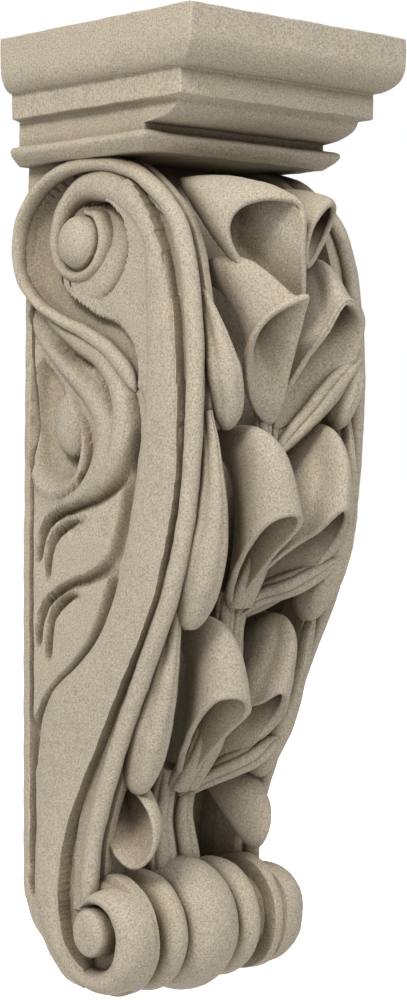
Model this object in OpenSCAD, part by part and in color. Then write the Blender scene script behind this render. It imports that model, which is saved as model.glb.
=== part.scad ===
// Carved stone corbel: one block of sandstone with a moulded cap, two S-scroll cheeks,
// tiers of ruffled acanthus hoods between them and a turned roll at the foot.
// X runs across the wall, +Y points into the wall, +Z is up. The origin is on the back
// face, on the centre line, mount_drop below the top. Millimetres.

/* [Overall] */
// Height from the top bed to the lowest point of the roll
height = 616; // [560:1:740]
// How far below the top the wall mount lies
mount_drop = 300; // [200:1:400]

/* [Cap mouldings] */
// Width of the cap across its top band
cap_w = 189; // [170:1:230]
// Depth of the cap from the wall to its front
cap_d = 179.3; // [165:0.1:220]
// Height of the plain face of the top band
band_h = 18; // [12:0.5:24]
// Height of the ovolo below it
ovolo_h = 16.8; // [12:0.2:22]
// Set-back of the second band at the sides
step_side = 9.5; // [6:0.1:12]
// Set-back of the second band at the front
step_front = 19.5; // [14:0.1:24]
// Height of the second band
fascia_h = 16; // [11:0.5:21]
// Height of the third band, an ovolo at the front and flat at the sides
third_h = 11.7; // [8:0.1:15]
// Set-back of the third band behind the second
third_step = 6; // [4:0.5:8]
// How far the ovolo of the third band draws in at the front
third_draw = 31; // [22:0.5:36]
// Height of the recess above the bead
recess_h = 4.5; // [3:0.5:7]
// Height of the bead that ends the cap
bead_h = 12.5; // [9:0.5:16]
// How far the bead stands out
bead_out = 7.5; // [5:0.5:10]

/* [Body] */
// Half-width of the body over the outer faces of its cheeks
body_half = 76.4; // [66:0.2:84]
// Depth of the cheeks from the wall, at their fullest
body_d = 158; // [138:1:178]
// Thickness of each cheek across the front
cheek_t = 21; // [14:0.5:26]
// Depth of the carved ground below the cheek's outer face
ground_drop = 5; // [4.5:0.5:8]
// Depth of the floor between the cheeks, behind their fronts
floor_drop = 34; // [26:1:42]
// Width of the cove cut behind the front rail
cove_w = 10; // [7:0.5:14]
// Depth of that cove
cove_d = 4; // [2:0.5:6]
// Width of the raised margin along the wall
margin_w = 5.5; // [3:0.5:9]

/* [Scrolls] */
// Radius of the upper scroll
scroll_r = 52; // [44:1:54]
// How far the upper scroll's rim stands out beyond the cheek
scroll_out = 8; // [4:0.5:12]
// Radius of its domed eye
eye_r = 17; // [13:0.5:20]
// Radius of the lower scroll's button
button_r = 15.5; // [13:0.5:19]

/* [Roll] */
// Radius of the middle bead
roll_r = 43; // [39:0.5:50]
// Radius of the two smaller beads beside it
roll_bead_r = 38.5; // [34:0.5:42]
// Radius of the cheek rims that close the roll
roll_rim_r = 38; // [34:0.5:42]
// Distance of the roll's axis from the wall
roll_out = 67; // [58:0.5:76]

/* [Leaves] */
// Thickness of a leaf at its rim
leaf_t = 4.5; // [3:0.1:6]

/* [Hidden] */

stone = [0.66, 0.61, 0.53];
seat = 1;                // how far neighbouring masses sink into each other
cap_top_h = band_h + ovolo_h;
cap_low = cap_top_h + fascia_h + 1.5 + third_h;
cap_h = cap_low + recess_h + bead_h;
face_in = body_half - cheek_t;
ground = body_half - ground_drop;
roll_z = roll_r - height;
rim_gap = 4;             // groove between the step and the bead of a cheek's front
scroll_c = [-64, -134];  // centre of the upper scroll: out from the wall, and down
leaf_sides = 11;         // points round a leaf
bead_n = 4;              // steps across a bead of the roll
leaf_rings = 5;          // rings from a leaf's root to its rim

// The carving is drawn for a 616 high, 158 deep body. stretch() carries a point to this
// body's own depth, and takes up a change of height along the straight of the S.
function down(z) = z - (height - 616) * min(max((-250 - z) / 300, 0), 1);
function stretch(p) = len(p) == 2
    ? [p[0] * body_d / 158, down(p[1])]
    : [p[0] * body_half / 76.4, p[1] * body_d / 158, down(p[2])];

// Point on the cubic curve through four control points
function cubic(p, t) =
    pow(1 - t, 3) * p[0] + 3 * t * pow(1 - t, 2) * p[1] + 3 * t * t * (1 - t) * p[2] + pow(t, 3) * p[3];
// Points of a chain of cubic curves, n steps in each
function chain(curves, n) = concat(
    [for (c = curves, k = [0:n - 1]) stretch(cubic(c, k / n))],
    [stretch(curves[len(curves) - 1][3])]
);
// A path moved d to the left of its own direction
function shifted(path, d) = [
    for (k = [0:len(path) - 1])
        let (a = path[max(k - 1, 0)], b = path[min(k + 1, len(path) - 1)], t = (b - a) / norm(b - a))
            path[k] + d * [-t[1], t[0]]
];
function reversed(list) = [for (k = [len(list) - 1:-1:0]) list[k]];
function piece(list, first, last) = [for (k = [first:last]) list[k]];

// Front line of a cheek, from the crown of the scroll down into the roll, as [y, z]
front_line = chain([
    [[-70, -80], [-125, -80], [-158, -125], [-158, -220]],
    [[-158, -220], [-158, -270], [-147, -330], [-124.5, -375]],
    [[-124.5, -375], [-92, -441], [-61, -490], [-60.5, -556]]
], 7);
// Inner edge of the broad band, from the scroll down to the last leaflet at the wall
inner_line = chain([
    [[-100, -130], [-122, -180], [-119, -240], [-104, -290]],
    [[-104, -290], [-91, -333], [-76, -388], [-50, -401]],
    [[-50, -401], [-28, -415], [-9, -432], [-8, -475]]
], 6);
// Underside of a cheek, from the roll back up to the wall
heel_line = [
    [-roll_out, roll_z - 31], [-50, roll_z - 28], [-38, roll_z - 23], [-29, roll_z - 16],
    [-20, roll_z - 2], [-10, roll_z + 5], [-3, roll_z + 17], [0, roll_z + 33]
];

// Slab between x0 and x1 of an outline drawn as [y, z]
module slab(outline, x0, x1) {
    translate([x0, 0, 0])
        rotate([90, 0, 90])
            linear_extrude(height = x1 - x0)
                polygon(outline);
}

// A side and its mirror image
module both() {
    children();
    mirror([1, 0, 0]) children();
}

// Solid of revolution about the roll's axis: a profile of [radius, x] turned at [y, z]
module turned(profile, centre, sides) {
    translate([0, centre[0], centre[1]])
        rotate([0, 90, 0])
            rotate_extrude($fn = sides)
                polygon(profile);
}

// Rod of round balls along a path of [x, y, z], thinning from r0 to r1
module vine(path, r0, r1) {
    last = len(path) - 1;
    for (k = [0:last - 1])
        hull() {
            translate(path[k]) sphere(r = r0 + (r1 - r0) * k / last, $fn = 6);
            translate(path[k + 1]) sphere(r = r0 + (r1 - r0) * (k + 1) / last, $fn = 6);
        }
}

// Stack of rectangles, each [z, half width, depth], on the wall
module stack(levels) {
    n = len(levels);
    corners = [[-1, -1], [1, -1], [1, 0], [-1, 0]];
    points = [for (l = levels, c = corners) [c[0] * l[1], c[1] * l[2], l[0]]];
    sides = [
        for (k = [0:n - 2], j = [0:3])
            let (a = 4 * k + j, b = 4 * k + (j + 1) % 4)
                [a, a + 4, b + 4, b]
    ];
    polyhedron(points, concat([[0, 1, 2, 3]], sides, [[for (j = [3:-1:0]) 4 * n - 4 + j]]), convexity = 4);
}

// Moulded cap. A level is [z, set-back at the sides, set-back at the front].
module cap() {
    turn = [0:15:90];
    fascia_z = -cap_top_h - fascia_h;
    third_side = step_side + third_step;
    third_front = step_front + third_step + 2;
    recess = third_front + third_draw;
    levels = concat(
        [[0, 0, 0]],
        [for (a = turn) [-band_h - ovolo_h * sin(a), step_side * (1 - cos(a)), step_front * (1 - cos(a))]],
        [[fascia_z, step_side, step_front], [fascia_z - 1.5, step_side + 1.5, step_front + 1.5]],
        [for (a = turn)
            [fascia_z - 1.6 - (third_h - 0.1) * sin(a), third_side,
             third_front + third_draw * (1 - cos(a))]],
        [[-cap_low - recess_h, third_side, recess]],
        [for (a = [30:30:150])
            [-cap_low - recess_h - bead_h * (1 - cos(a)) / 2, third_side - bead_out * sin(a),
             recess - bead_out * sin(a)]],
        [[-cap_h, third_side, recess]]
    );
    stack(reversed([for (l = levels) [l[0], cap_w / 2 - l[1], cap_d - l[2]]]));
}

// Block between the cheeks that carries the leaves
module core() {
    floor_line = shifted(front_line, floor_drop);
    sole = [[-roll_out, roll_z - 23], [-42, roll_z - 20], [-24, roll_z - 5], [0, roll_z + 37]];
    slab(concat([[0, seat - cap_h], [floor_line[0][0], seat - cap_h]], floor_line, sole),
        -face_in - seat, face_in + seat);
}

// One cheek on the +X side: ground, front rail, broad band that spreads into the field, margin
module cheek() {
    outline = concat([[0, seat - cap_h], [front_line[0][0], seat - cap_h]], front_line, heel_line);
    slab(outline, face_in, body_half - cove_d);
    rail = concat(shifted(front_line, 0.4), reversed(shifted(front_line, cove_w * 0.6)));
    slab(rail, body_half - cove_d - seat, body_half);
    band = concat(
        shifted(piece(front_line, 2, len(front_line) - 1), cove_w),
        [[-41, roll_z - 24], [-30, roll_z - 15], [-21, roll_z - 1], [-11, roll_z + 7], [-9, roll_z + 34]],
        reversed(inner_line)
    );
    slab(band, body_half - cove_d - seat, body_half - 0.3);
    translate([face_in + seat, -margin_w, roll_z + 29])
        cube([cheek_t - seat - 0.6, margin_w - 0.2, -cap_h - roll_z - 28]);
}

// Upper scroll on the +X side: a disc that flares to the wall, its ring and its domed eye
module upper_scroll() {
    profile = [
        [0, body_half - 10], [scroll_r - 4, body_half - 10], [scroll_r - 6, body_half],
        [eye_r + 18, body_half + 2.5], [eye_r + 11, body_half + 1], [eye_r + 9, body_half + 5],
        [eye_r + 5, body_half + 7], [eye_r + 1, body_half + 4], [eye_r, body_half + 2],
        [eye_r * 0.8, body_half + 6], [eye_r * 0.5, body_half + 8.5], [0, body_half + 10]
    ];
    turned(profile, scroll_c, 20);
    rim = chain([
        [[74, -112, -92], [76, -70, -72], [82, -18, -86], [84.4, -5, -132]],
        [[84.4, -5, -132], [85, -1, -176], [81, -52, -178], [78, -84, -196]],
        [[78, -84, -196], [77, -98, -202], [75, -104, -212], [73, -107, -222]]
    ], 4);
    vine([for (p = rim) [p[0] + scroll_out - 8, p[1], p[2]]], 4.5, 4);
}

// Acanthus sprays on the ground of the +X side
module spray() {
    x = ground;
    function run(p) = chain([[for (q = p) [x, q[0], q[1]]]], 4);
    vine(run([[-30, -178], [-96, -196], [-118, -262], [-66, -292]]), 6, 5);
    vine(run([[-66, -292], [-40, -303], [-18, -304], [-13, -328]]), 4.5, 2);
    vine(run([[-14, -186], [-40, -226], [-82, -240], [-62, -276]]), 3, 3);
    vine(run([[-62, -276], [-44, -296], [-8, -288], [-9, -262]]), 3, 2.5);
    translate(stretch([x - 4, -45, -250])) sphere(r = 12, $fn = 14);
    vine(run([[-102, -272], [-90, -335], [-42, -340], [-17, -384]]), 4.5, 2);
    vine(run([[-72, -312], [-48, -312], [-30, -320], [-25, -342]]), 3.5, 2);
    vine(run([[-60, -352], [-40, -362], [-30, -372], [-27, -394]]), 3.5, 2);
}

// Points round a leaf's rim, from its stem along the inner side to the tip and back outside
function rim_point(leaf, a) =
    let (s = (1 - cos(a)) / 2, swell = a < 180 ? leaf[4] : leaf[5])
        leaf[2] + (leaf[3] - leaf[2]) * s + swell * pow(abs(sin(a)), 1.2);
// Point on a leaf: u runs from its root to its rim, a round it
function leaf_point(leaf, u, a) =
    let (
        rim = rim_point(leaf, a),
        middle = (leaf[2] + leaf[3]) / 2 + leaf[5] * 0.35,
        rise = leaf[1] - middle
    )
    cubic([leaf[0], leaf[1] + (rim - middle) * 0.45, rim + rise * 0.42, rim], u);

// Hood of a leaf, hollow below: [root, crown, stem, tip, inner swell, outer swell]
module hood(leaf) {
    around = [for (j = [0:leaf_sides - 1]) 360 * j / leaf_sides];
    outside = [for (k = [1:leaf_rings]) [for (a = around) leaf_point(leaf, k / leaf_rings, a)]];
    function centre(ring) = [for (c = [0:2]) [for (p = ring) 1] * [for (p = ring) p[c]] / len(ring)];
    inside = [
        for (k = [leaf_rings:-1:3])
            let (ring = outside[k - 1], m = centre(ring))
                [for (p = ring) p + (m - p) / norm(m - p) * min(leaf_t, norm(m - p) * 0.6)]
    ];
    rings = concat(outside, inside);
    n = len(rings);
    points = concat([leaf[0]], [for (r = rings, p = r) p], [centre(inside[len(inside) - 1])]);
    last = len(points) - 1;
    function at(k, j) = 1 + k * leaf_sides + (j + leaf_sides) % leaf_sides;
    polyhedron(
        [for (p = points) stretch(p)],
        concat(
            [for (j = [0:leaf_sides - 1]) [0, at(0, j + 1), at(0, j)]],
            [for (k = [0:n - 2], j = [0:leaf_sides - 1], h = [0, 1])
                h == 0
                    ? [at(k, j), at(k, j + 1), at(k + 1, j + 1)]
                    : [at(k, j), at(k + 1, j + 1), at(k + 1, j)]],
            [for (j = [0:leaf_sides - 1]) [last, at(n - 1, j), at(n - 1, j + 1)]]
        ),
        convexity = 8
    );
}

// Tiers of hoods on the +X side, each [root, crown, stem, tip, inner swell, outer swell]
inner_hoods = [
    [[30, -110, -94], [29, -154, -105], [4, -161, -200], [20, -188, -103], [-4, -10, -8], [40, 4, 7]],
    [[34, -105, -165], [34, -164, -132], [3, -149, -251], [22, -196, -167], [2, -2, -6], [33, 4, 0]],
    [[27, -105, -262], [28, -182, -238], [3, -115, -366], [18, -196, -303], [-2, 0, -4], [36, 0, 6]],
    [[33, -70, -385], [35, -140, -355], [3, -62, -482], [15, -150, -421], [-4, 2, -2], [33, 0, 8]]
];
outer_hoods = [
    [[52, -110, -175], [62, -168, -172], [22, -158, -246], [60, -176, -208], [4, -4, -12], [12, 8, -10]],
    [[56, -105, -265], [62, -166, -262], [28, -128, -362], [60, -176, -318], [4, -4, -10], [12, 10, -12]],
    [[58, -70, -382], [62, -124, -382], [28, -80, -478], [60, -121, -450], [4, -4, -8], [12, 10, -12]]
];
foot_hoods = [
    [[40, -18, -464], [46, -70, -478], [30, -74, -520], [44, -108, -518], [2, -6, -6], [14, 4, 2]]
];

// The leaves between the cheeks, and the stalk that they spring from
module leaves() {
    for (leaf = concat(inner_hoods, outer_hoods, foot_hoods))
        both() hood(leaf);
    stalk = chain([[[0, -128, -190], [0, -150, -290], [0, -95, -390], [0, -56, -520]]], 8);
    vine(stalk, 13, 10);
}

// Roll across the foot: middle bead, two smaller ones, and the two parts of each cheek's rim
module roll() {
    // an arc bulging to radius r between x0 and x1, drawn in to low at its ends
    function bead(x0, x1, r, low) =
        [for (k = [0:bead_n])
            let (t = 2 * k / bead_n - 1)
                [low + (r - low) * sqrt(max(1 - t * t, 0)), (x0 + x1) / 2 + t * (x1 - x0) / 2]];
    middle = 22;
    roll_half = body_half - 0.6;
    step = face_in + (cheek_t - rim_gap) / 2;
    side = concat(
        bead(middle, face_in - 13, roll_bead_r, 29),
        [[28, face_in - 12], [28, face_in - 4.6], [roll_rim_r, face_in - 4], [roll_rim_r, step]],
        [[roll_rim_r - 5, step + 1], [roll_rim_r - 5, step + rim_gap - 1]],
        bead(step + rim_gap, roll_half, roll_rim_r - 3, roll_rim_r - 6)
    );
    half = concat(bead(-middle, middle, roll_r, 30), side, [[0, roll_half]]);
    mirrored = [for (p = reversed(side)) [p[0], -p[1]]];
    turned(concat([[0, -roll_half]], mirrored, half), [-roll_out, roll_z], 20);
    both() turned(
        [[0, body_half - 5], [button_r + 4, body_half - 5], [button_r + 4, body_half + 0.5],
         [button_r, body_half + 1], [button_r, body_half + 3], [button_r - 4, body_half + 5],
         [0, body_half + 6]],
        [-roll_out - 2.5, roll_z + 7], 18);
}

module corbel() {
    color(stone)
        translate([0, 0, mount_drop])
            union() {
                cap();
                core();
                both() cheek();
                both() upper_scroll();
                both() spray();
                leaves();
                roll();
            }
}

corbel();
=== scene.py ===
# %% [markdown]
# # A carved stone corbel
# A corbel is a bracket of stone that carries a beam, a shelf or a cornice. This one is
# a single block: a moulded cap, two S-shaped cheeks with a scroll at each end, tiers of
# acanthus leaves that hang between them, and a turned roll at the foot.
# One block could be made as one mesh, but its parts have different natural directions:
# a moulding runs round the cap, a rail runs along the S, a leaf spreads from its root.
# So each part is its own closed surface with its own two parameters, sunk a little into
# its neighbours, and they all share one stone.

import math

import bpy
import numpy as np
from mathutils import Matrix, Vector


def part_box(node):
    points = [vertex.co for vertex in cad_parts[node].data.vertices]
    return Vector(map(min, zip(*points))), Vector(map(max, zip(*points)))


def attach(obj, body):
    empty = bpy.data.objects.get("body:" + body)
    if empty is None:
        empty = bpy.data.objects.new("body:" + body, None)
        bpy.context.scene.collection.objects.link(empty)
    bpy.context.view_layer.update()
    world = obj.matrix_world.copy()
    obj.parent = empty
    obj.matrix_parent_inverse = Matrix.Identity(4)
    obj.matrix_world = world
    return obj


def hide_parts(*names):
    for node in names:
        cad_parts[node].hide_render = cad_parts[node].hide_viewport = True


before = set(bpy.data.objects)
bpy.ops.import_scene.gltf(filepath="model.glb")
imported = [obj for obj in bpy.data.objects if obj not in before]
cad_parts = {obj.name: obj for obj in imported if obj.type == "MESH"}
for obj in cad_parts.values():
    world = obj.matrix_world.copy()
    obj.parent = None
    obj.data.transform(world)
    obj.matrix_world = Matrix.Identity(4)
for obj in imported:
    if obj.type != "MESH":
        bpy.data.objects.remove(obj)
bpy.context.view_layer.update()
low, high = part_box("corbel")
TOP = high[2]
print("block", [round((b - a) * 1000) for a, b in zip(low, high)], "mm")

# %% [markdown]
# ## Curves through a few points
# A carver sets out a scroll with a handful of points and a bent lath. The same can be
# done with a Bezier curve object, or with a smooth curve worked out from the points.
# The second keeps everything in arrays, so that a width or a height can ride along with
# the place in the same row. All sizes are in millimetres: x across, y out from the wall
# (negative), z down from the top of the cap.

# %% A smooth curve, and the distance to it
def through(knots, n):
    """n rows on the curve through the knots: between two knots, half of (2b + (c - a)t +
    (2a - 5b + 4c - d)t^2 + (3b - a - 3c + d)t^3), with a and d the knots either side."""
    k = np.asarray(knots, float)
    t = np.linspace(0, len(k) - 1, n)
    i = np.minimum(t.astype(int), len(k) - 2)
    f = (t - i)[:, None]
    p = np.vstack([2 * k[0] - k[1], k, 2 * k[-1] - k[-2]])
    a, b, c, d = p[i], p[i + 1], p[i + 2], p[i + 3]
    square, cube = 2 * a - 5 * b + 4 * c - d, 3 * b - a - 3 * c + d
    return 0.5 * (2 * b + (c - a) * f + square * f**2 + cube * f**3)


def nearest(y, z, path):
    """For each point: its distance to a path of (y, z, ...) rows, positive on the left of
    the path's direction, and the path's other columns at the nearest place."""
    best = np.full(y.shape, 1e9)
    side = np.zeros(y.shape)
    other = np.zeros(y.shape + (path.shape[1] - 2,))
    for a, b in zip(path[:-1], path[1:]):
        run = b[:2] - a[:2]
        t = np.clip(((y - a[0]) * run[0] + (z - a[1]) * run[1]) / max(run @ run, 1e-9), 0, 1)
        dy, dz = y - a[0] - t * run[0], z - a[1] - t * run[1]
        d = np.hypot(dy, dz)
        near = d < best
        best = np.where(near, d, best)
        side = np.where(near, np.sign(run[0] * dz - run[1] * dy), side)
        other = np.where(near[..., None], a[2:] + t[..., None] * (b - a)[2:], other)
    return best * np.where(side == 0, 1, side), other


def step(t):
    """0 below 0, 1 above 1, and 3t^2 - 2t^3 between."""
    t = np.clip(t, 0, 1)
    return t * t * (3 - 2 * t)


# %% [markdown]
# ## From rings of points to closed stone
# Every part here is a tube in the wide sense: ring after ring of points, with the last
# ring joined to the one before it. A fan closes each end. Extruding and bridging loops by
# hand would do the same, but arrays let the whole surface be one formula. A slow wobble
# of a fraction of a millimetre takes away the look of a machine.

# %% Ring-to-mesh helper
def wobble(p, size, amount):
    """A smooth shift of each point, less than amount: half the amount times the sines of
    its place in three turned directions, about size apart, each bent by the next."""
    turn = np.array([[0.36, 0.48, -0.8], [-0.8, 0.6, 0.0], [0.48, 0.64, 0.6]])
    q = p @ turn.T * (2 * np.pi / size)
    a, b, c = q[..., 0], q[..., 1], q[..., 2]
    waves = [np.sin(a + 1.7 * np.sin(b * 0.6)), np.sin(b + 1.3 * np.sin(c * 0.7)),
             np.sin(c + 1.5 * np.sin(a * 0.5))]
    return amount * np.stack(waves, -1) / 2


stone_pieces = []


def carve(name, rings, mirror=False, sharp=38):
    """Makes a closed mesh from rings (rows, points, xyz) in millimetres. mirror flips x;
    an edge that bends by more than sharp degrees isn't smoothed."""
    p = rings + wobble(rings, 23, 0.35) + wobble(rings[..., [1, 2, 0]], 7, 0.12)
    # what stands against the wall stays flat on it
    p[..., 1] = np.where(rings[..., 1] > -0.5, rings[..., 1], p[..., 1])
    p[..., 1] = np.minimum(p[..., 1], 0)
    if mirror:
        p = p * [-1, 1, 1]
    rows, cols = p.shape[:2]
    points = np.vstack([p.reshape(-1, 3), p[0].mean(0), p[-1].mean(0)])
    r, c = np.meshgrid(np.arange(rows - 1), np.arange(cols), indexing="ij")
    d = (c + 1) % cols
    quads = np.stack([r * cols + c, r * cols + d, (r + 1) * cols + d, (r + 1) * cols + c], -1)
    quads = quads.reshape(-1, 4)
    j = np.arange(cols)
    k = (j + 1) % cols
    first = np.stack([np.full(cols, rows * cols), k, j], -1)
    last = np.stack([np.full(cols, rows * cols + 1), (rows - 1) * cols + j, (rows - 1) * cols + k], -1)
    a, b, e, f = (points[quads[:, i]] for i in range(4))
    # six times the volume, whose sign says which way the faces point
    volume = (np.cross(a, b) * e).sum() + (np.cross(a, e) * f).sum()
    for fan in (first, last):
        volume += (np.cross(points[fan[:, 0]], points[fan[:, 1]]) * points[fan[:, 2]]).sum()
    faces = [*quads.tolist(), *first.tolist(), *last.tolist()]
    if volume < 0:
        faces = [face[::-1] for face in faces]
    mesh = bpy.data.meshes.new(name)
    mesh.from_pydata((points * 0.001 + [0, 0, TOP]).tolist(), [], faces)
    mesh.shade_smooth()
    mesh.set_sharp_from_angle(angle=math.radians(sharp))
    mesh.update()
    piece = bpy.data.objects.new(name, mesh)
    bpy.context.collection.objects.link(piece)
    stone_pieces.append(piece)
    print(name, len(faces), "faces", round(abs(volume) / 6000), "cm3")


def soften(line, reach):
    """A profile whose corners are rounded: the mean of each row and its neighbours,
    weighted by exp(-(i / reach)^2)."""
    w = np.exp(-((np.arange(-3 * reach, 3 * reach + 1) / reach) ** 2))
    padded = np.vstack([np.repeat(line[:1], 3 * reach, 0), line, np.repeat(line[-1:], 3 * reach, 0)])
    return np.stack([np.convolve(padded[:, c], w / w.sum(), "valid") for c in range(line.shape[1])], 1)


def even(line, gap):
    """The same line with a point every gap."""
    line = np.asarray(line, float)
    s = np.concatenate([[0], np.cumsum(np.linalg.norm(np.diff(line, axis=0), axis=1))])
    t = np.linspace(0, s[-1], max(int(s[-1] / gap), 2) + 1)
    return np.stack([np.interp(t, s, line[:, c]) for c in range(line.shape[1])], 1)


# %% [markdown]
# ## The moulded cap
# The cap is a stack of classical mouldings: a plain band, an ovolo, a second band, a
# third that draws in under itself, a deep recess and a bead. They return round the front
# and both sides, and the set-backs differ, because the front leans further out. A
# profile on a path is the usual tool; here each level of the profile is a rectangle
# against the wall with slightly rounded corners, and the levels are stacked.

# %% Cap profile
CAP_W, CAP_D = 94.5, 179.3  # half width and depth at the top
quarter = np.radians(np.arange(0, 91, 9))[:, None]


def ovolo(z, side, front, h, side_in, front_in):
    """A quarter turn downwards: z falls by h sin a, the set-backs grow by (1 - cos a)."""
    return np.hstack([z - h * np.sin(quarter), side + side_in * (1 - np.cos(quarter)),
                      front + front_in * (1 - np.cos(quarter))])


cap_profile = np.vstack([  # z, set-back at the sides, set-back at the front
    [[0, 60, 130], [0, 0, 0]],
    ovolo(-18, 0, 0, 16.8, 9.5, 19.5),
    [[-50.8, 9.5, 19.5], [-52.3, 15.5, 27.0]],
    ovolo(-52.4, 15.5, 27.5, 11.6, 0, 31),
    [[-68.5, 15.5, 58.5]],
    [[-69.2, 10.4, 52.8], [-70.6, 8.4, 50.5], [-72.6, 8, 50], [-74.4, 8.8, 50.9], [-77.4, 11.4, 53.9],
     [-81, 15.5, 58.5]],
    [[-81.2, 40, 90]],
])
cap_profile = soften(even(cap_profile, 0.55), 2)
cap_profile[:, 0] = np.minimum(cap_profile[:, 0], 0)
print("cap profile", len(cap_profile), "levels")


# %% Cap surface
def around_block(w, d, side, front, corner):
    """Points round a rectangle on the wall, half width w and depth d, from the wall along
    one side, the front and the other side, with corners of the given radius."""
    s = np.linspace(0, 1, side)[:, None]
    bend = np.radians(np.arange(0, 91, 18))[:, None]
    left = np.hstack([-w + 0 * s, -(d - corner) * s])
    turn = np.hstack([-w + corner * (1 - np.cos(bend)), -(d - corner) - corner * np.sin(bend)])
    f = np.linspace(0, 1, front)[1:-1, None]
    face = np.hstack([(2 * f - 1) * (w - corner), -d + 0 * f])
    right = np.vstack([left, turn[1:]])[::-1] * [-1, 1]
    wall = np.linspace(1, -1, 12)[1:-1, None]
    return np.vstack([left, turn[1:], face, right, np.hstack([wall * w, 0 * wall])])


SIDE_POINTS, FRONT_POINTS, ARRIS = 26, 28, 1.4
cap_rings = []
for z, side_in, front_in in cap_profile:
    plan = around_block(CAP_W - side_in, CAP_D - front_in, SIDE_POINTS, FRONT_POINTS, ARRIS)
    cap_rings.append(np.hstack([plan, np.full((len(plan), 1), z)]))
carve("cap", np.array(cap_rings))

# %% [markdown]
# ## The S of the cheeks
# Seen from the side, the front edge of each cheek leaves the upper scroll, swells to its
# fullest and sweeps back into the roll. Behind it run a cove and a broad band. The band
# coils round the domed eye above and round the button below, so its two edges are set
# out separately, knot by knot, and the surface is stretched between them.

# %% Front line and the band's two edges
FRONT_ROWS = 260
front_line = through([
    (-70, -80), (-97, -86), (-118, -100), (-139, -120), (-149, -142), (-155, -172), (-158, -210),
    (-156.5, -250), (-151, -300), (-136.5, -350), (-112, -400), (-87.6, -450), (-67, -500),
    (-61.5, -528), (-60.5, -556),
], FRONT_ROWS)

EYE = (-56.0, -133.0)


def polar(r, deg):
    """A point at distance r from the eye; 0 degrees is towards the front, 90 is up."""
    return (EYE[0] - r * math.cos(math.radians(deg)), EYE[1] + r * math.sin(math.radians(deg)))


coil = [  # angle, radius of the inner edge, radius of the outer edge
    (440, 16.5, 22), (405, 16.5, 25), (360, 16.5, 27), (315, 16.5, 26.5), (270, 16.5, 26),
    (225, 16.5, 28.5), (180, 17, 31.5), (150, 19, 33.5), (120, 22, 38), (90, 26, 44), (60, 29, 52),
    (30, 39, 61.5), (0, 57, 73)]
inner_edge = [polar(i, a) for a, i, o in coil] + [
    (-116, -165), (-116, -215), (-112, -250), (-104, -290), (-89, -345), (-70, -381), (-46, -402),
    (-24, -418), (-13, -440), (-10, -468), (-9, -510), (-8, -545), (-13, -568), (-25, -586),
    (-44, -599), (-69.5, -604.8), (-90, -600), (-104, -585), (-108, -566), (-104, -551),
    (-92, -541.5), (-73, -538), (-57, -547)]
outer_edge = [polar(o, a) for a, i, o in coil] + [
    (-140, -170), (-145, -215), (-146.5, -250), (-143, -290), (-129, -345), (-113, -378), (-97, -405),
    (-84, -428), (-73, -448), (-60, -470), (-44, -502), (-36.5, -530), (-35, -550), (-37.5, -566),
    (-45, -580), (-61, -590), (-75, -588.5), (-84.5, -580), (-88, -567.5), (-84.5, -557), (-77, -551),
    (-68, -549.8), (-58, -554.5)]
print(len(inner_edge), len(outer_edge), "knots on the band")

# %% [markdown]
# ## The broad band
# Its section is a flattened round with full arrises where it runs straight, and a
# half-round where it coils. A curve bevel can't change its section on the way, so the
# section is a formula whose power changes along the band.

# %% Broad band
BAND_ROWS, BAND_ACROSS = 480, 30


def band_surface():
    """Rings of the band. Along: the knot number v. Across: t from -1 to 1, height = foot +
    (crest - foot) (1 - |t|^n)^(1/n), with n from 2 at the coils to 2.8 on the straight."""
    inner, outer = through(inner_edge, BAND_ROWS), through(outer_edge, BAND_ROWS)
    v = np.linspace(0, len(inner_edge) - 1, BAND_ROWS)
    straight = step((v - 8.5) / 4) * step((27 - v) / 4)
    power = 2.0 + 0.8 * straight
    swell = 1.4 * (1 - step((v - 3) / 7)) + 2.4 * step((v - 26) / 4)
    sink = 4.0 * (1 - step(v / 3)) + 5 * step((v - 34) / 2)
    crest = 77.4 + swell - sink
    foot = 67.5 - 3.5 * step((v - 27) / 3)
    angle = np.linspace(np.pi, 0, BAND_ACROSS)
    t = np.cos(angle)[None, :]
    t = np.sign(t) * np.abs(t) ** 0.9
    h = (1 - np.abs(t) ** power[:, None]).clip(0) ** (1 / power[:, None])
    mid, arm = (inner + outer) / 2, (outer - inner) / 2
    yz = mid[:, None, :] + arm[:, None, :] * t[..., None]
    x = foot[:, None] + (crest - foot)[:, None] * h
    top = np.concatenate([x[..., None], yz], -1)
    base = top[:, ::-1][:, 1:-1:3].copy()
    base[..., 0] = foot[:, None] - 6
    return np.concatenate([top, base], 1)


band = band_surface()
print("band", band.shape[:2], "rows and points")

# %% [markdown]
# ## The rail
# The rail is the bead on the front arris. At the top it leaves the front, runs back under
# the cap, flares out to the wall and crosses under the eye to end in a spoon tip. At the
# foot it runs into the roll beside the button. Rod after rod of a fixed size would miss how it widens,
# so its half-width and half-height ride along as extra columns of the knots.

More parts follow.
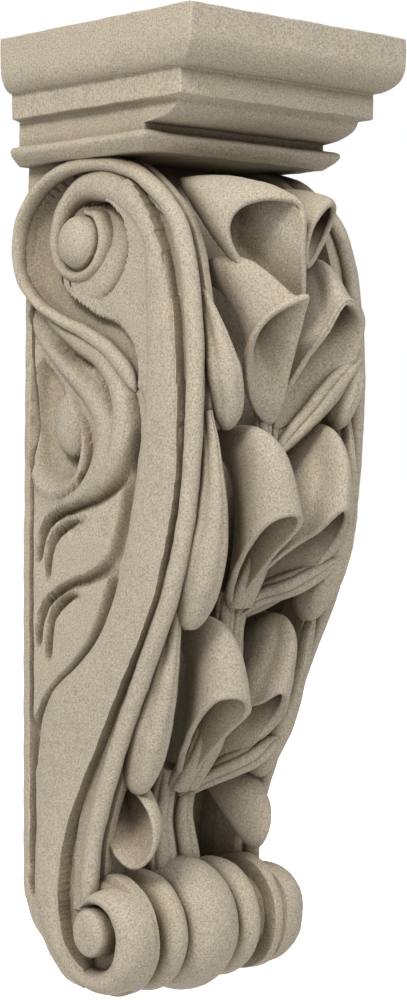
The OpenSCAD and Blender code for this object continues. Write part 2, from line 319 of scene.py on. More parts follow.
# %% Rail
rail_knots = [  # y, z, x of the middle, half-width, half-height
    (-60, -568, 69, 7, 7), (-60.5, -550, 70.2, 6.2, 6), (-61.5, -528, 70.6, 5.7, 5.6),
    (-67, -500, 70.6, 5.5, 5.6), (-87.6, -450, 70.6, 5.5, 5.6), (-112, -400, 70.6, 5.5, 5.6),
    (-136.5, -350, 70.6, 5.5, 5.6), (-151, -300, 70.6, 5.5, 5.6), (-156.5, -250, 70.6, 5.5, 5.6),
    (-158, -210, 70.6, 5.5, 5.6), (-155, -172, 70.6, 5.5, 5.6), (-149, -142, 70.6, 5.5, 5.6),
    (-139, -120, 70.8, 5.3, 5.8), (-120, -102, 71, 5, 6), (-99, -90, 71.4, 5, 6.3),
    (-72, -84.5, 72.4, 4.9, 6.8), (-45, -86, 74.8, 4.5, 7), (-22, -97, 78.5, 3.8, 7),
    (-8, -116, 81.6, 3.2, 6.6), (-4.4, -138, 82.4, 3, 6), (-8.5, -157, 81, 3, 5.6),
    (-22, -171.5, 78.5, 3.3, 5.4), (-40, -181, 76.8, 3.6, 5), (-60, -189, 75.8, 4.4, 4.8),
    (-77, -197, 75, 4.8, 4.8), (-90, -206, 74.4, 5.4, 4.8), (-99, -215, 73.8, 5.6, 4.6),
    (-104, -223, 73, 3.8, 3.6), (-105.5, -227.5, 72, 1, 1)]


def rod(knots, rows, points):
    """Rings round a path in the side's plane: across it half-width times cos, outwards
    half-height times sin."""
    p = through(knots, rows)
    run = np.gradient(p[:, :2], axis=0)
    run /= np.linalg.norm(run, axis=1, keepdims=True)
    left = np.stack([-run[:, 1], run[:, 0]], 1)
    a = np.linspace(0, 2 * np.pi, points, endpoint=False)
    yz = p[:, None, :2] + left[:, None, :] * (p[:, 3, None] * np.cos(a))[..., None]
    x = p[:, 2, None] + p[:, 4, None] * np.sin(a)
    return np.concatenate([x[..., None], yz], -1)


RAIL_ROWS, RAIL_POINTS = 560, 28
rail = rod(rail_knots, RAIL_ROWS, RAIL_POINTS)
print("rail", rail.shape[:2], "rows and points")

# %% [markdown]
# ## Front of a cheek
# Seen from the front, the bead is followed by a narrow groove and a flat inner step. It
# is the same section all the way down the S, so it is swept along the front line, each
# corner set a distance in from that line.

# %% Step and groove
def swept(section, line):
    """Rings of a section of (x, distance in from the line) rows, one ring at each point
    of the line; inwards is square to the line in the side's plane."""
    section = np.asarray(section, float)
    run = np.gradient(line, axis=0)
    run /= np.linalg.norm(run, axis=1, keepdims=True)
    inward = np.stack([-run[:, 1], run[:, 0]], 1)
    yz = line[:, None, :] + inward[:, None, :] * section[None, :, 1, None]
    x = np.repeat(section[None, :, 0], len(line), 0)
    return np.concatenate([x[..., None], yz], -1)


def closed(corners, gap, reach):
    """A closed section with its corners rounded over about reach steps."""
    loop = even(np.vstack([corners, corners[:1]]), gap)[:-1]
    n = len(loop)
    return soften(np.vstack([loop] * 3), reach)[n:2 * n]


step_section = closed([(54, -0.8), (60.2, -1.6), (61.6, 2.8), (64.5, 3.4), (68, 4), (68, 20), (54, 20)],
                      0.7, 1)
cheek_step = swept(step_section, front_line)
print("front step", cheek_step.shape[:2], "rows and points")

# %% [markdown]
# ## Relief on the side
# The field behind the band is carved in low relief: the hollow round the eye, the gutter
# of the spoon, an eyelet with a rolled lip and leaflets with deep, tapering veins. It is
# never undercut, so a height for each (y, z) is enough, and each stroke of the chisel is
# a simple function of the distance to a drawn line.

# %% Strokes
VEIN_DEEPER = 2.3  # every vein is cut this many times its drawn depth


def ridge(h, y, z, knots, n=60):
    """Raises h to foot + (crest - foot) sqrt(1 - (d / width)^2), d from a line of (y, z,
    width, foot, crest) rows."""
    d, c = nearest(y, z, through(knots, n))
    t = np.clip(1 - (d / np.maximum(c[..., 0], 0.1)) ** 2, 0, None)
    return np.where(t > 0, np.maximum(h, c[..., 1] + (c[..., 2] - c[..., 1]) * np.sqrt(t)), h)


def vein(h, y, z, knots, n=60):
    """Cuts a steep-sided groove, VEIN_DEEPER depth exp(-1.2 (d / half width)^4), along a
    line of (y, z, half width, depth) rows."""
    d, c = nearest(y, z, through(knots, n))
    return h - VEIN_DEEPER * c[..., 1] * np.exp(-((d / np.maximum(c[..., 0], 0.1)) ** 4) * 1.2)


def ledge(h, y, z, knots, n=60):
    """Drops h sharply on the left of a line of (y, z, depth, reach) rows, and lets it
    climb back over the reach: the shadow line of a lapping edge."""
    d, c = nearest(y, z, through(knots, n))
    fade = np.exp(-((np.clip(d, 0, None) / np.maximum(c[..., 1], 0.1)) ** 1.4))
    return h - c[..., 0] * step(d / 0.9) * fade


def inside(y, z, poly):
    """True inside a polygon, by counting the edges to the right."""
    hit = np.zeros(y.shape, bool)
    for (ay, az), (by, bz) in zip(poly, np.roll(poly, -1, 0)):
        hit ^= ((az > z) != (bz > z)) & (y < (by - ay) * (z - az) / (bz - az + 1e-12) + ay)
    return hit


# %% The channel between band and rail, and the level field in front of the eye
FIELD_X, CHANNEL_X = 75.4, 65.4  # x of the level field and of the channel's bottom
RUN_ROWS, PAST_COIL = 500, 60  # the first rows of the band lie inside its own coil
outer_run = through(outer_edge, RUN_ROWS)
rail_run = through([k[:3] for k in rail_knots], RUN_ROWS)
gutter = [(-111, -224), (-110, -210), (-106, -198), (-92, -185.5), (-70, -178), (-47, -166), (-37, -156)]
channel = np.vstack([outer_run[PAST_COIL:], rail_run[:, :2], gutter])
field = np.array(gutter[::-1] + [
    (-118, -235), (-124, -260), (-132, -240), (-135, -100), (-90, -95), (-80, -109), (-45, -109),
    (-36, -150)], float)
print("channel", len(channel), "corners, field", len(field))


# %% Round the eye
def eye_hollow(h, y, z):
    """Cuts the hollow in front of the eye, deep at the top and dying out below: a wide
    ledge and a narrow one on the same line."""
    h = ledge(h, y, z, [(-63, -106, 9, 34), (-83, -110, 9, 30), (-96, -120, 9, 26), (-101, -134, 8, 22),
                        (-100, -147, 7, 18), (-92, -160, 5, 15), (-79, -168.5, 3, 12),
                        (-64, -170, 0.8, 10)])
    return ledge(h, y, z, [(-72, -107, 6, 4), (-85, -110.5, 8, 5), (-96, -120, 9, 5), (-101, -134, 9, 5),
                           (-100, -147, 8, 5), (-92, -160, 6, 4), (-79, -168.5, 3, 3),
                           (-64, -170, 0.6, 3)])


def behind_rail(h, y, z):
    """Cuts the channel: flat at the bottom, rising to the rail with the fourth power of
    the share of the way across, where the rail flares to the wall."""
    to_rail, lift = nearest(y, z, rail_run)
    to_band, _ = nearest(y, z, outer_run[PAST_COIL:])
    share = np.abs(to_band) / (np.abs(to_band) + np.abs(to_rail) + 0.1)
    cut = CHANNEL_X + np.clip(lift[..., 0] - 67.6, 0, None) * share**4
    edge, _ = nearest(y, z, through(gutter, 90))
    slope = np.where(z > -150, 1, step(np.abs(edge) / 2.6))
    h = np.where(inside(y, z, channel), cut + (FIELD_X - cut) * (1 - slope), h)
    # a fillet beside the straight of the rail, and stone under all of it
    fillet = 66 + 5.4 * step((9.2 - np.abs(to_rail)) / 1.4)
    h = np.where(lift[..., 0] < 71, np.maximum(h, fillet), h)
    return np.maximum(h, np.where(np.abs(to_rail) < 2.6, lift[..., 0] - 2.5, 0))


# %% Acanthus sprays
def folds(g, y, z):
    """Two folds below the spoon that open into the long curling leaf, round a shallow dip."""
    dip = np.hypot((y + 62) / 60, (z + 236) / 66)
    g = g - 3.2 * (1 - step((dip - 0.55) / 0.5))
    g = ridge(g, y, z, [(-6, -176, 5, 69, 76), (-22, -196, 6, 69, 77), (-48, -217, 7, 69, 77.6),
                        (-71, -235, 9, 69, 78.2), (-80, -252, 11, 69, 78.6), (-76, -272, 11, 69, 78.6),
                        (-61, -288, 8, 69, 78), (-44, -297, 5.5, 70, 77.4), (-28, -303, 4.5, 71, 76.8),
                        (-17, -316, 3.5, 72, 76.2), (-15, -330, 1.5, 72, 74)])
    g = ridge(g, y, z, [(-26, -181, 5, 69, 76.6), (-48, -193, 8, 69, 77.4), (-72, -205, 10.5, 69, 78.2),
                        (-90, -225, 11.5, 69, 79), (-95, -247, 11, 69, 79.4), (-89, -268, 9, 69, 79),
                        (-77, -284, 6, 69, 77)])
    return ledge(g, y, z, [(-87, -248, 0.6, 4), (-84, -232, 3.6, 5), (-72, -216, 4.4, 5),
                           (-52, -209, 4.4, 5), (-34, -200, 4, 5), (-20, -184, 2, 4)])


def eyelet(g, y, z):
    """A lip round a hollow with a small lobe in it: the hollow falls by 12 over 9 from its
    edge, and the lobe rises as the root of 1 - its distance squared."""
    edge = through([(-16, -200), (-33, -216), (-50, -236), (-59, -258), (-52, -278), (-34, -288),
                    (-16, -284), (-7, -266), (-5.5, -236), (-8, -212), (-16, -200)], 120)
    hollow = inside(y, z, edge)
    rim, _ = nearest(y, z, edge)
    bowl = 76 - 12 * step(np.abs(rim) / 9)
    g = np.where(hollow, np.minimum(np.maximum(g, 0), bowl), g)
    lobe = np.hypot((y + 41) / 14.5, (z + 247) / 19)
    dome = 64 + 11.4 * np.sqrt(np.clip(1 - (lobe / 1.25) ** 2, 0, 1))
    g = np.where(hollow & (lobe < 1.25), np.maximum(g, dome), g)
    g = ledge(g, y, z, [(-27, -250, 0.8, 5), (-31, -263, 3.6, 6), (-41, -269, 5, 7), (-51, -265, 4, 6),
                        (-56, -254, 1, 4)])
    return ridge(g, y, z, [(-56, -244, 1.6, 73, 76.6), (-60.5, -262, 2.6, 73, 77.2),
                           (-53, -281, 3.2, 73, 77.4), (-34, -291, 3.2, 73, 77.2), (-15, -287, 3, 73, 77),
                           (-5.5, -267, 2.6, 73, 76.6), (-4.5, -238, 2.2, 73, 76)])


# %% Veins between the leaflets, wide where they start and at their rounded ends
veins = [
    [(-104, -232, 2.5, 2), (-108, -250, 3, 3), (-104, -268, 4, 3.6), (-92, -284, 3.6, 3.2),
     (-72, -295, 2.8, 2.8), (-52, -301, 2.4, 2.6), (-34, -306, 2.4, 2.8), (-21, -315, 3, 3.4),
     (-15.5, -331, 2.8, 3.2), (-15, -335, 1, 0.4)],
    [(-62, -308, 1, 0.4), (-48, -311, 2, 2), (-35, -317, 2.6, 3), (-27, -326, 3, 3.4),
     (-24, -342, 2.8, 3), (-24, -347, 1, 0.3)],
    [(-106, -256, 3, 1.5), (-102, -285, 5.5, 3.8), (-95, -316, 6, 4), (-84, -335, 4.6, 3.6),
     (-66, -344, 3.2, 3), (-46, -350, 2.5, 2.6), (-29, -358, 2.6, 2.8), (-18.5, -369, 3, 3.4),
     (-15, -386, 2.8, 3.2), (-15, -391, 1, 0.4)],
    [(-58, -355, 1, 0.4), (-46, -358, 2, 2.2), (-34, -365, 2.8, 3), (-27, -376, 3, 3.4),
     (-25, -394, 2.8, 3), (-25, -399, 1, 0.3)],
    [(-90, -332, 3, 1.5), (-86, -352, 5.5, 3.8), (-76, -374, 5.6, 3.8), (-61, -393, 4.4, 3.4),
     (-42, -408, 3, 2.8), (-25, -421, 2.6, 2.8), (-14.5, -438, 3, 3.2), (-11.5, -463, 2.8, 3),
     (-11.5, -470, 1, 0.4)],
    [(-46, -416, 1, 0.3), (-36, -422, 2, 2), (-27, -433, 2.8, 2.8), (-22.5, -448, 3, 3),
     (-21.5, -470, 2.4, 2.4), (-21.5, -476, 1, 0.2)]]
wall_margin = [
    (-8, -166, 0.8, 0.4), (-8, -176, 1.3, 2.4), (-8, -400, 1.5, 2.6), (-9, -470, 2.4, 3),
    (-9.5, -530, 3, 3.4), (-9.5, -545, 2.8, 3), (-9.5, -551, 1.2, 0.4)]
print(len(veins), "veins")


# %% Heights of the carved field
def side_height(y, z):
    """x of the cheek's side at (y, z), on the positive side: straight lines in z between
    a few levels, then one stroke after another."""
    h = np.interp(-z, [0, 89, 104, 172, 260, 620], [71, 71.2, 72.6, 73.6, 74.6, FIELD_X]) + 0 * y
    lower = step((-z - 285) / 60)
    h = h + (75.6 - h) * lower
    h = np.where(inside(y, z, field), FIELD_X, h)
    h = eye_hollow(h, y, z)
    h = behind_rail(h, y, z)
    spray = (z < -160) & ~inside(y, z, channel)
    g = eyelet(folds(h, y, z), y, z)
    for line in veins:
        g = vein(g, y, z, line)
    h = np.where(spray, g, h)
    return vein(h, y, z, wall_margin, 120)


# %% Cheek body
CHEEK_ROWS, CHEEK_COLUMNS = 360, 130
INNER_FACE = 55


def cheek_body():
    """Rings from the top to the heel: along the side from the wall to the front, then back
    along the inner face. A ring's ends are matching points of a back and a front line, and
    its points are spread evenly between them."""
    back = through([(0, -79), (0, -180), (0, -300), (0, -420), (0, -500), (0, -540), (-3, -555),
                    (-10, -568), (-20, -577), (-27, -586), (-42, -598), (-60, -602)], CHEEK_ROWS)
    ahead = through([(-66, -81), (-108, -96), (-141, -127), (-153, -170), (-155, -230), (-151, -290),
                     (-134, -350), (-110, -400), (-85, -450), (-64, -502), (-58, -550), (-60, -566)],
                    CHEEK_ROWS)
    t = np.linspace(0, 1, CHEEK_COLUMNS)[None, :, None]
    yz = back[:, None, :] * (1 - t) + ahead[:, None, :] * t
    y, z = yz[..., 0], yz[..., 1]
    side = np.concatenate([side_height(y, z)[..., None], yz], -1)
    inner = side[:, ::-1][:, ::6].copy()
    inner[..., 0] = INNER_FACE
    return np.concatenate([side, inner], 1)


body = cheek_body()
print("cheek", body.shape[:2], "rows and points")

# %% [markdown]
# ## Eye, button and roll
# These were turned on a lathe in the mind's eye: a profile spun about an axis across the
# corbel. The Spin tool would leave a seam to close; rings of one circle each are closed
# from the start.

# %% Turned parts
def turned(profile, centre, points):
    """Rings about an axis along x through (y, z): each row of the profile is (radius, x)."""
    a = np.linspace(0, 2 * np.pi, points, endpoint=False)
    profile = np.asarray(profile, float)
    r, x = profile[:, 0, None], profile[:, 1, None] + 0 * a
    return np.stack([x, centre[0] + r * np.cos(a), centre[1] + r * np.sin(a)], -1)


def lathe(corners, gap=0.7, reach=2):
    """An open profile, evened out and with its corners rounded."""
    return soften(even(corners, gap), reach)


def bulge(x0, x1, r, foot, n):
    """A bead between x0 and x1: radius foot + (r - foot) sqrt(1 - t^2)."""
    t = np.linspace(-1, 1, n)
    radius = foot + (r - foot) * np.sqrt(np.clip(1 - t**2, 0, 1))
    return np.stack([radius, (x0 + x1) / 2 + t * (x1 - x0) / 2], 1)


BUTTON, ROLL = (-69.5, -565.4), (-67.0, -570)
DOME_POINTS, ROLL_POINTS = 72, 90
eye_profile = lathe([(0.2, 60), (17.2, 60), (17.2, 74.5), (16, 79), (13, 82.6), (8.5, 85), (4, 86),
                     (0.2, 86.2)])
button_profile = lathe([(0.2, 60), (15.4, 60), (15.4, 77), (14.2, 80.6), (11, 82.6), (6, 83.6),
                        (0.2, 83.8)])
cheek_rim = lathe([(27, 42.4), (27, 50.6), (37.8, 51), (38.2, 60), (34, 61.6), (34, 64.6), (31, 66.5),
                   (0.2, 66.5)], 0.6, 1)
eye = turned(eye_profile, EYE, DOME_POINTS)
button = turned(button_profile, BUTTON, DOME_POINTS)
# half of the middle bead, the small bead, and the groove and rim at the cheek
roll_profile = np.vstack([bulge(-22, 22, 42.8, 28, 70)[35:], bulge(22, 42, 38.6, 27, 34)[1:], cheek_rim])
half_roll = turned(roll_profile, ROLL, ROLL_POINTS)
roll = np.concatenate([(half_roll * [-1, 1, 1])[::-1], half_roll])
carve("roll", roll, sharp=30)

# %% Both cheeks
for side, flip in (("right", False), ("left", True)):
    carve("cheek_" + side, body, flip)
    carve("band_" + side, band, flip, 60)
    carve("rail_" + side, rail, flip, 60)
    carve("front_step_" + side, cheek_step, flip)
    carve("eye_" + side, eye, flip, 60)
    carve("button_" + side, button, flip)

# %% [markdown]
# ## The block behind the leaves
# Between the cheeks the stone is cut back to a rough floor that the leaves grow from. It
# is only seen as shade in the gaps.

# %% Floor between the cheeks
FLOOR_ROWS, FLOOR_COLUMNS = 100, 40
floor_line = through([(-60, -79), (-100, -110), (-120, -160), (-124, -220), (-121, -280), (-104, -345),
                      (-78, -395), (-56, -440), (-34, -490), (-27, -530), (-40, -560), (-60, -570)],
                     FLOOR_ROWS)
wall_line = through([(0, -79), (0, -200), (0, -300), (0, -400), (0, -500), (0, -540), (-12, -570),
                     (-40, -590)], FLOOR_ROWS)
span = np.linspace(-56, 56, FLOOR_COLUMNS)


def across(line, places):
    """A sheet of (x, y, z): each point of a line of (y, z), repeated at every x."""
    x = np.repeat(places[None], len(line), 0)
    return np.concatenate([x[..., None], np.repeat(line[:, None], len(places), 1)], -1)


carve("floor", np.concatenate([across(floor_line, span), across(wall_line, span[::-1])], 1))

# %% [markdown]
# ## Acanthus leaves
# Each leaf hangs from a crown and opens like a trumpet, with a rim that loops from the
# stem out to the tip and back. A subdivided cage could be pushed into shape by hand; a
# formula with a root, a crown, a stem, a tip and a swell on either side gives the whole
# family, and keeps the rims an even thickness.

# %% Leaf surface
def leaf_points(leaf, u, a, neck, lift, waist):
    """A cubic from the root over the crown to the rim; u runs from root to rim. The rim is
    stem + (tip - stem) (1 - cos a) / 2 - sin a (outer - inner) / 2 + sin^2 a (outer + inner) / 2.
    neck narrows the sheet at its crown, waist further down, and lift raises it before
    the rim."""
    root, crown, stem, tip, inner, outer = (np.asarray(v, float) for v in leaf)
    s = ((1 - np.cos(a)) / 2)[..., None]
    turn = np.sin(a)[..., None]
    rim = stem + (tip - stem) * s - turn * (outer - inner) / 2 + turn**2 * (outer + inner) / 2
    middle = (stem + tip) / 2 + (outer + inner) * 0.25
    u = u[..., None]
    third = middle + (rim - middle) * waist + (crown - middle) * lift
    return ((1 - u) ** 3 * root + 3 * u * (1 - u) ** 2 * (crown + (rim - middle) * 0.45 * neck)
            + 3 * u * u * (1 - u) * third + u**3 * rim)


def near_angle(a, angle, width):
    """exp(-(gap / width)^2), the gap in degrees from an angle round the leaf."""
    gap = np.abs((np.degrees(a) - angle + 180) % 360 - 180)
    return np.exp(-((gap / width) ** 2))


LEAF_AROUND, LEAF_ALONG = 96, 42
HEAVY_SIDE = 285  # degrees round a leaf, near its outer edge


def leaf_rings(leaf, fold=(), thick=4.4, heavy=0.0, neck=0.8, lift=0.42, waist=0.78):
    """Rings from the root, out over the lip and back inside. fold lists valleys (angle,
    depth, width) that deepen towards the rim; heavy thickens the outer part of the rim,
    whose lip also carries a fine groove."""
    a1 = np.linspace(0, 2 * np.pi, LEAF_AROUND, endpoint=False)
    u, a = np.meshgrid(np.linspace(0.05, 1, LEAF_ALONG) ** 0.9, a1, indexing="ij")
    p = leaf_points(leaf, u, a, neck, lift, waist)
    for angle, depth, width in fold:
        middle = p.mean(1, keepdims=True)
        inward = (middle - p) / (np.linalg.norm(middle - p, axis=-1, keepdims=True) + 1e-9)
        p = p + inward * (depth * step((u - 0.2) / 0.6) * near_angle(a, angle, width))[..., None]
    wide = np.concatenate([p[:, -1:], p, p[:, :1]], 1)
    du, da = np.gradient(p, axis=0), (wide[:, 2:] - wide[:, :-2]) / 2
    n = np.cross(da, du)
    n /= np.linalg.norm(n, axis=-1, keepdims=True) + 1e-9
    if ((p - p.mean(1, keepdims=True)) * n)[LEAF_ALONG // 2].sum() < 0:
        n = -n
    wall = (thick + heavy * near_angle(a, HEAVY_SIDE, 60) * step((u - 0.45) / 0.5))[..., None]
    ahead = du[-1] / (np.linalg.norm(du[-1], axis=-1, keepdims=True) + 1e-9)
    # the lip is half a round across the wall, the inside follows the sheet most of the way back
    lip = []
    for b in np.radians(np.arange(12, 169, 12)):
        groove = 1 - 0.26 * (heavy > 0) * (np.sin(3 * b) < -0.3)
        over = ahead * np.minimum(wall[-1], 6) / 2 * np.sin(b) * groove
        lip.append(p[-1] - n[-1] * wall[-1] / 2 * (1 - np.cos(b)) + over)
    return np.concatenate([p, np.array(lip), (p - n * wall)[::-1][:int(LEAF_ALONG * 0.72)]], 0)


# %% [markdown]
# Each leaf is given by six places: root, crown, stem, tip and the swell of the rim on its
# inner and outer side. The right-hand hoods of the lower tiers have a crease and a heavy
# lower rim with a groove in its lip; the left-hand ones are thin.

# %% Leaves of each tier
left_leaves = [
    (([38, -106, -94], [34, -140, -110], [5, -172, -176], [16, -184, -110], [-8.5, -4.5, 2],
      [39.5, 15, 13]),
     dict(lift=0.2, neck=1.4, waist=1.15)),
    (([43, -105, -165], [46, -168, -124], [3, -152, -245], [19, -193, -170], [-3.6, -7.5, 14.5],
      [25, 7.5, 5.5]),
     dict(neck=0.8, lift=0.1, waist=0.46)),
    (([30, -105, -262], [33, -181, -236], [3, -115, -366], [17, -195, -303], [-5, 0, 2.5], [26, -13, 16.5]),
     dict(neck=1, lift=0.36, waist=0.75)),
    (([33, -70, -385], [33, -142, -350], [3, -68, -481], [17, -150, -420], [-4, -4, 3.5], [26, -16, 24.5]),
     dict(neck=1, lift=0.36, waist=0.75))]
right_leaves = [
    (([38, -106, -94], [33, -142, -110], [5, -176, -152], [32, -175, -109], [-11.7, -2.5, 5],
      [23, 15.5, 2]),
     dict(lift=0.2, neck=1.4, waist=1.1)),
    (([34, -105, -165], [33, -163, -124], [3, -149, -248], [28, -190, -169], [-5.5, -5.5, 9.5],
      [35.5, -2.5, 6.5]),
     dict(neck=0.8, lift=0.2, waist=0.56, heavy=5, fold=[(128, 8, 30)])),
    (([30, -105, -262], [38, -170, -236], [3, -112, -366], [27, -192, -299], [-8, -8, 10.5], [30, 2, -5.5]),
     dict(neck=1, lift=0.36, waist=0.75, heavy=6, fold=[(128, 13, 30)])),
    (([33, -70, -385], [33, -142, -356], [3, -62, -482], [24, -141, -417], [-7, -12, 22], [24, 0, -4]),
     dict(neck=1, lift=0.36, waist=0.75, heavy=6, fold=[(128, 13, 30)]))]
foot_leaf = ([36, -30, -466], [31, -74, -486], [55, -56, -472], [51, -86, -526], [-2, -26, 8], [4, 12, -8])
for side, flip in (("right", False), ("left", True)):
    for k, (leaf, form) in enumerate(left_leaves if flip else right_leaves):
        carve(f"leaf_{k}_{side}", leaf_rings(leaf, **form), flip, 60)
    carve(f"leaf_foot_{side}", leaf_rings(foot_leaf, thick=3, neck=1, waist=1), flip, 60)

# %% [markdown]
# ## Stalks, strips and lobes
# Below each pair of hoods their rims run together into a ribbed stalk that dives behind
# the next tier and ends on the roll. A ribbed strip runs up from each stalk under the
# right-hand hood, and beside each cheek hang closed drops with soft ribs. All three are a
# thick, ribbed ribbon along a path.

# %% Ribbed ribbon
STALK_ROWS, STALK_POINTS = 90, 40


def stalk(knots):
    """Rings round a path of (x, y, z, half-width, depth, ribs): an ellipse across x and
    outwards, scalloped by ribs (|cos(2.5 a + 45 degrees)|^0.6 - 1)."""
    p = through(knots, STALK_ROWS)
    run = np.gradient(p[:, :3], axis=0)
    run /= np.linalg.norm(run, axis=1, keepdims=True)
    out = np.cross(run, np.broadcast_to([1.0, 0, 0], run.shape))
    out /= np.linalg.norm(out, axis=1, keepdims=True)
    beside = np.cross(out, run)
    a = np.linspace(0, 2 * np.pi, STALK_POINTS, endpoint=False)
    scallop = p[:, 5, None] * (np.abs(np.cos(2.5 * a + np.pi / 4)) ** 0.6 - 1)
    return (p[:, None, :3] + beside[:, None, :] * ((p[:, 3, None] + scallop) * np.cos(a))[..., None]
            + out[:, None, :] * ((p[:, 4, None] + scallop) * np.sin(a))[..., None])


# %% Stalks, strips and lobes
# each row is x, y, z, half-width, depth, ribs
stalks = [
    [(5, -150, -238, 7, 5, 0.8), (5, -148, -262, 6, 6, 1.4), (4, -148, -285, 7, 7, 1.4),
     (4, -142, -320, 8, 8, 1.4), (4, -120, -360, 8, 8, 1)],
    [(6, -118, -352, 7, 6, 0.8), (5, -112, -378, 7, 7, 1.4), (5, -108, -410, 8, 8, 1.4),
     (5, -92, -450, 8, 8, 1.4), (5, -70, -480, 8, 8, 1)],
    [(9, -68, -468, 8, 6, 0.8), (9, -61, -486, 8, 8, 1.6), (9, -57, -504, 9, 9, 1.6),
     (10, -61, -526, 10, 9, 1.6), (10, -62, -542, 10, 8, 1)]]
strips = [
    [(3, -153, -264, 4, 5, 1), (18, -158, -248, 8, 8, 2), (36, -168, -225, 10, 8, 2.2),
     (55, -175, -204, 4, 4, 0.6)],
    [(3, -114, -368, 4, 5, 1), (18, -125, -355, 8, 8, 2), (34, -144, -346, 10, 8, 2.2),
     (53, -160, -332, 4, 4, 0.6)],
    [(4, -62, -487, 4, 5, 1), (18, -82, -473, 8, 8, 2), (34, -102, -461, 9, 8, 2.2),
     (50, -106, -452, 4, 4, 0.6)]]
lobes = [
    [(60, -150, -166, 2, 4, 0.5), (59, -157, -184, 4, 9, 0.8), (57, -162, -202, 7, 12, 1.2),
     (54, -165, -219, 9.5, 13, 1.2), (50, -164, -234, 9, 11, 1), (48, -160, -245, 6, 8, 0.4),
     (47, -156, -250, 1, 2, 0)],
    [(60, -154, -240, 3, 7, 1), (59, -158, -268, 5, 9, 1), (57, -156, -300, 9, 13, 1.4),
     (55, -148, -328, 12.5, 16, 1.6), (53, -139, -350, 12, 15, 1.2), (52, -130, -366, 8, 11, 0),
     (52, -126, -373, 1, 2, 0)],
    [(60, -126, -352, 3, 7, 1), (59, -122, -378, 5, 9, 1), (57, -112, -408, 8, 13, 1.4),
     (55, -100, -436, 11, 16, 1.6), (53, -91, -456, 10.5, 15, 1.2), (52, -83, -472, 8, 11, 0),
     (52, -79, -479, 1, 2, 0)]]
for k, knots in enumerate(strips):
    carve(f"strip_{k}", stalk(knots), False, 60)
for side, flip in (("right", False), ("left", True)):
    for k, knots in enumerate(stalks):
        carve(f"stalk_{k}_{side}", stalk(knots), flip, 60)
    for k, knots in enumerate(lobes):
        carve(f"lobe_{k}_{side}", stalk(knots), flip, 60)

# %% [markdown]
# ## Sandstone
# Fine sandstone is an even buff colour broken up by grains of about a millimetre, a
# little soot and lime in soft clouds, and a surface that is rough everywhere. A picture
# could be wrapped on, but noise in three dimensions runs through the block as grain does
# and has no seams.

# %% Sandstone material
def sandstone():
    """The colour is grains times clouds times broad tones times painted shade, a brown
    darkening where a place is shut in by other stone; a fine noise lifts and lowers the
    surface by a little over half a millimetre at most."""
    mat = bpy.data.materials.new("sandstone")
    mat.use_nodes = True
    nodes, links = mat.node_tree.nodes, mat.node_tree.links
    shader = nodes["Principled BSDF"]
    shader.inputs["Roughness"].default_value = 0.93
    shader.inputs["Specular IOR Level"].default_value = 0.18
    place = nodes.new("ShaderNodeTexCoord")

    def noise(scale, detail, rough):
        n = nodes.new("ShaderNodeTexNoise")
        n.inputs["Scale"].default_value = scale
        n.inputs["Detail"].default_value = detail
        n.inputs["Roughness"].default_value = rough
        links.new(place.outputs["Object"], n.inputs["Vector"])
        return n.outputs["Fac"]

    def ramp(source, stops):
        r = nodes.new("ShaderNodeValToRGB")
        while len(r.color_ramp.elements) < len(stops):
            r.color_ramp.elements.new(0.5)
        for e, (at, colour) in zip(r.color_ramp.elements, stops):
            e.position, e.color = at, (*colour, 1)
        links.new(source, r.inputs["Fac"])
        return r.outputs["Color"]

    def blend(kind, fac, a, b):
        m = nodes.new("ShaderNodeMix")
        m.data_type, m.blend_type = "RGBA", kind
        m.inputs[0].default_value = fac
        links.new(a, m.inputs[6])
        links.new(b, m.inputs[7])
        return m.outputs[2]

    grain = ramp(noise(900, 2, 0.6), [(0.28, (0.29, 0.24, 0.175)), (0.46, (0.46, 0.40, 0.31)),
                                      (0.56, (0.51, 0.45, 0.355)), (0.74, (0.64, 0.58, 0.48))])
    # tones a few centimetres wide, then a hand's breadth
    clouds = ramp(noise(34, 4, 0.6), [(0.3, (0.93, 0.93, 0.95)), (0.7, (1.0, 0.985, 0.95))])
    broad = ramp(noise(7, 2, 0.5), [(0.35, (0.94, 0.94, 0.94)), (0.65, (1, 1, 1))])
    colour = blend("MULTIPLY", 1.0, blend("MULTIPLY", 1.0, grain, clouds), broad)
    # painted shade in the hollows: the colour darkens and browns within about 28 mm of other stone
    hollow = nodes.new("ShaderNodeAmbientOcclusion")
    hollow.samples = 6
    hollow.inputs["Distance"].default_value = 0.028
    painted_hollow_shade = ramp(hollow.outputs["AO"], [(0.1, (0.24, 0.21, 0.18)), (0.5, (0.62, 0.58, 0.52)),
                                        (0.86, (1, 1, 1))])
    # the painted shade of the hollows is multiplied into the stone's colour
    colour = blend("MULTIPLY", 1.0, colour, painted_hollow_shade)
    links.new(colour, shader.inputs["Base Color"])
    bump = nodes.new("ShaderNodeBump")
    bump.inputs["Strength"].default_value = 0.5
    bump.inputs["Distance"].default_value = 0.0006
    links.new(noise(620, 4, 0.7), bump.inputs["Height"])
    links.new(bump.outputs["Normal"], shader.inputs["Normal"])
    return mat


stone = sandstone()
for piece in stone_pieces:
    piece.data.materials.append(stone)
    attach(piece, "root")
    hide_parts("corbel")
print(len(stone_pieces), "pieces of stone")

# %% [markdown]
# ## Floor, light and camera
# The corbel is shown against plain white, lit softly from the upper left, so that the side
# is the bright plane and the hollows of the leaves fall into shade. Large area lamps give
# soft edges; a pale world fills in.

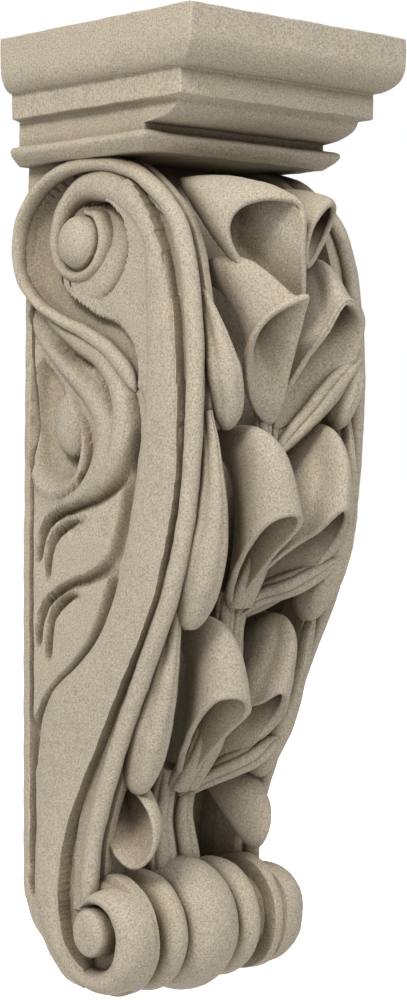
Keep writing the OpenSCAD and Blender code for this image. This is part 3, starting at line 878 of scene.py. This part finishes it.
# %% Floor
ground = bpy.data.meshes.new("ground")
FLOOR_DROP = 0.95  # below the top of the cap, in metres
corners = ((-9, -9), (9, -9), (9, 9), (-9, 9))
ground.from_pydata([(x, y, TOP - FLOOR_DROP) for x, y in corners], [], [(0, 1, 2, 3)])
floor = bpy.data.objects.new("ground", ground)
bpy.context.collection.objects.link(floor)
pale = bpy.data.materials.new("pale_floor")
pale.use_nodes = True
nodes, links = pale.node_tree.nodes, pale.node_tree.links
path, matte = nodes.new("ShaderNodeLightPath"), nodes["Principled BSDF"]
glow = nodes.new("ShaderNodeEmission")
matte.inputs["Base Color"].default_value = (0.8, 0.8, 0.8, 1)
matte.inputs["Roughness"].default_value = 0.9
add, seen = nodes.new("ShaderNodeAddShader"), nodes.new("ShaderNodeMath")
seen.operation = "MAXIMUM"
links.new(path.outputs["Is Camera Ray"], seen.inputs[0])
links.new(path.outputs["Is Glossy Ray"], seen.inputs[1])
links.new(seen.outputs[0], glow.inputs["Strength"])
glow.inputs["Color"].default_value = (0.9, 0.9, 0.9, 1)
links.new(matte.outputs[0], add.inputs[0])
links.new(glow.outputs[0], add.inputs[1])
links.new(add.outputs[0], nodes["Material Output"].inputs["Surface"])
ground.materials.append(pale)

# %% World
world = bpy.data.worlds.new("studio")
bpy.context.scene.world = world
world.use_nodes = True
nodes, links = world.node_tree.nodes, world.node_tree.links
back = nodes["Background"]
back.inputs["Color"].default_value = (1, 1, 1, 1)
kinds = ("LightPath", "Math", "Math", "MapRange")
path, most, glass, level = (nodes.new("ShaderNode" + kind) for kind in kinds)
most.operation = glass.operation = "MAXIMUM"
links.new(path.outputs["Is Camera Ray"], most.inputs[0])
links.new(path.outputs["Is Glossy Ray"], most.inputs[1])
links.new(most.outputs[0], glass.inputs[0])
links.new(path.outputs["Is Transmission Ray"], glass.inputs[1])
links.new(glass.outputs[0], level.inputs["Value"])
level.inputs["To Min"].default_value = 0.42
level.inputs["To Max"].default_value = 1.0
links.new(level.outputs[0], back.inputs["Strength"])


# %% Lamps
def lamp(name, place, aim, size, watts, tint):
    """A square area lamp at place that points at aim."""
    data = bpy.data.lights.new(name, "AREA")
    data.size, data.energy, data.color = size, watts, tint
    thing = bpy.data.objects.new(name, data)
    bpy.context.collection.objects.link(thing)
    thing.location = place
    way = np.array(aim, float) - np.array(place, float)
    thing.rotation_euler = (math.acos(-way[2] / np.linalg.norm(way)), 0, math.atan2(-way[0], way[1]))


lamp("key", (-2.1, -0.8, 1.9), (0, -0.1, 0), 0.8, 58, (1, 0.99, 0.97))
lamp("front", (-0.4, -2.4, 1.8), (0, -0.1, 0), 1.2, 30, (0.97, 0.985, 1))

# %% [markdown]
# The camera stands a little over a metre and a half away, to the left of the front, at
# about the height of the middle, with a long lens. A small downward shift keeps the
# uprights upright, as an architect's camera does.

# %% Camera
camera = bpy.data.objects.new("camera", bpy.data.cameras.new("camera"))
bpy.context.collection.objects.link(camera)
camera.location = (-1.0004, -1.1550, 0.0456)
camera.rotation_euler = (math.radians(90), 0, math.radians(-43.2))
camera.data.lens = 82
camera.data.sensor_width = 36
camera.data.shift_y = -0.0646
camera.data.clip_start, camera.data.clip_end = 0.05, 60
bpy.context.scene.camera = camera
bpy.context.scene.view_settings.view_transform = "Standard"
